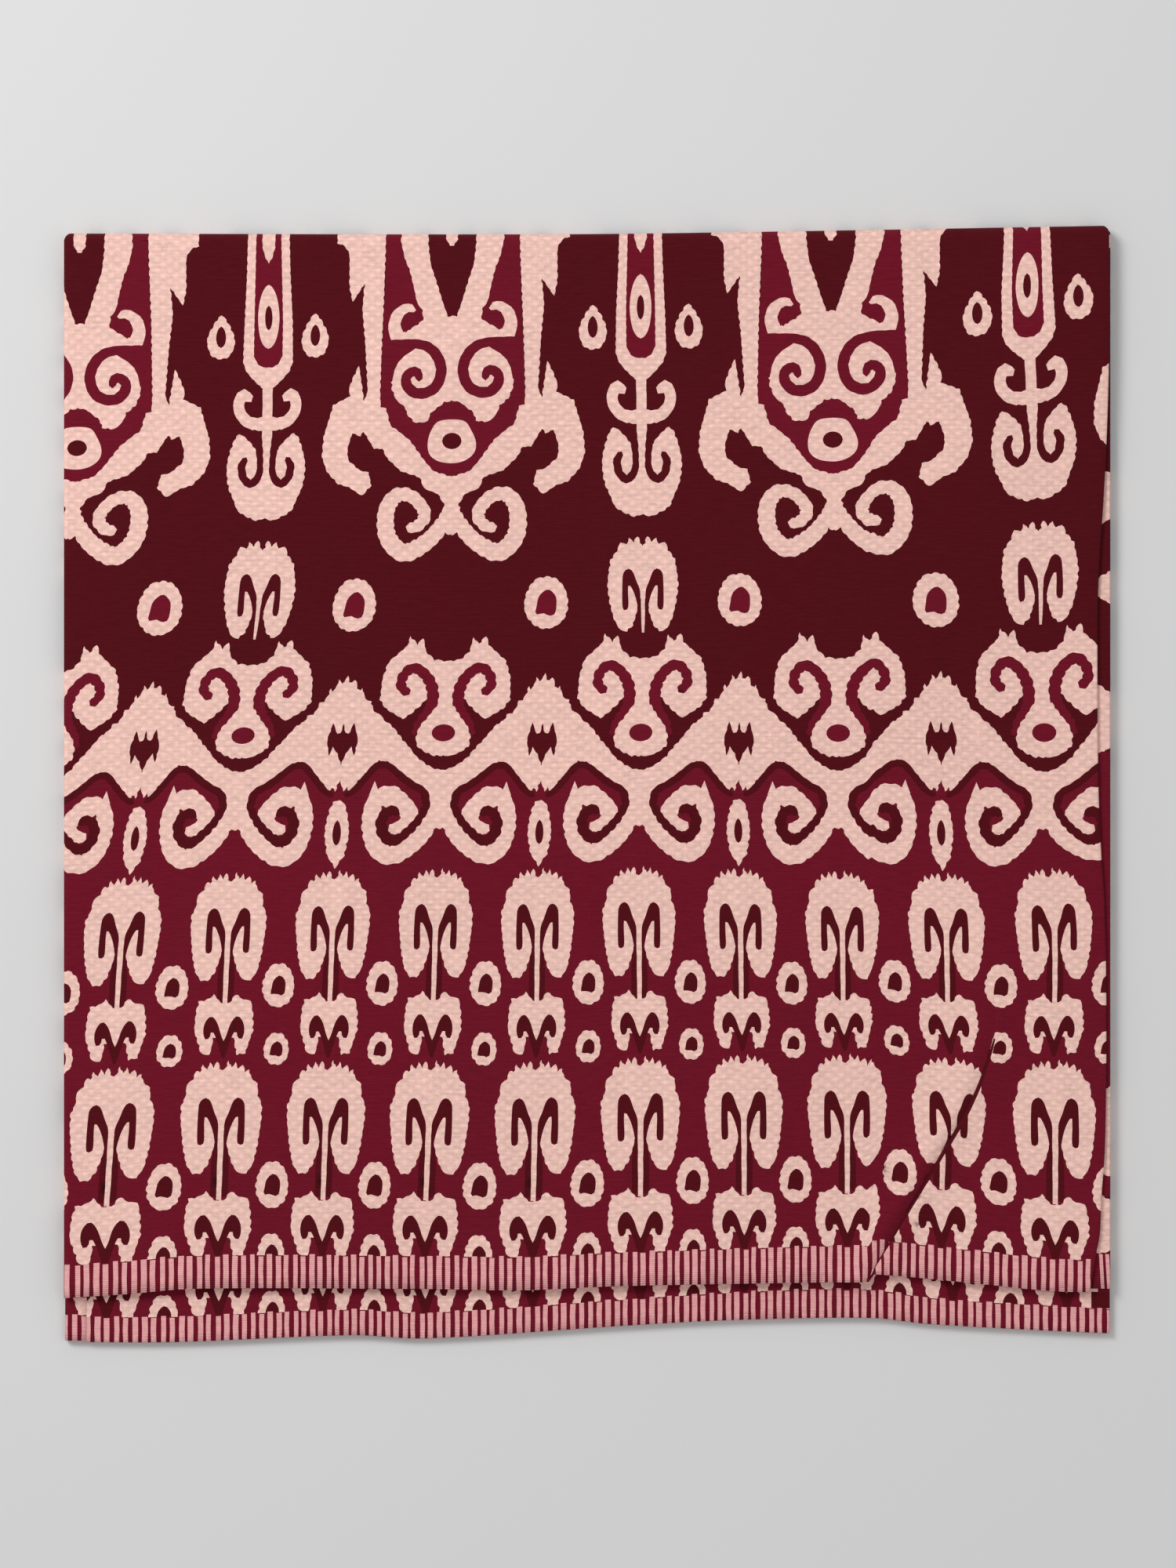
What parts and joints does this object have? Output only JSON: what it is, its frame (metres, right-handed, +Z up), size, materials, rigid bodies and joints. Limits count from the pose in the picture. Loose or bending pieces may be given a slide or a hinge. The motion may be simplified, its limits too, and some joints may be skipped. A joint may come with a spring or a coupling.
{
  "type": "folded sarong",
  "caption": "Tube sarong of figured cotton, pressed flat and folded across and down its length, both striped hems showing.",
  "frame": {"origin": "centre of the bounding box, on the surface that the cloth lies on", "axes": "+Z up out of the surface, +Y along the tube's length towards the top fold, +X across the width towards the tube's side folds"},
  "size_m": [0.5788, 0.6183, 0.0138],
  "materials": {
    "front_cloth": "figured dobby cotton, pale pink motifs on dark maroon and crimson, matt",
    "fold_cloth": "the same cotton at its side fold, maroon, matt",
    "rear_cloth": "the same cotton at the rear hem, pink and crimson stripes, matt",
    "under_cloth": "the same cotton where it lies on the surface, matt",
    "inner_cloth": "edges of the hidden layers, pink and crimson, matt"
  },
  "bodies": {
    "root": {"front_layer": "front_cloth", "second_fold": "fold_cloth", "rear_hem_layer": "rear_cloth", "under_layer": "under_cloth", "inner_layers": "inner_cloth"}
  },
  "joints": []
}
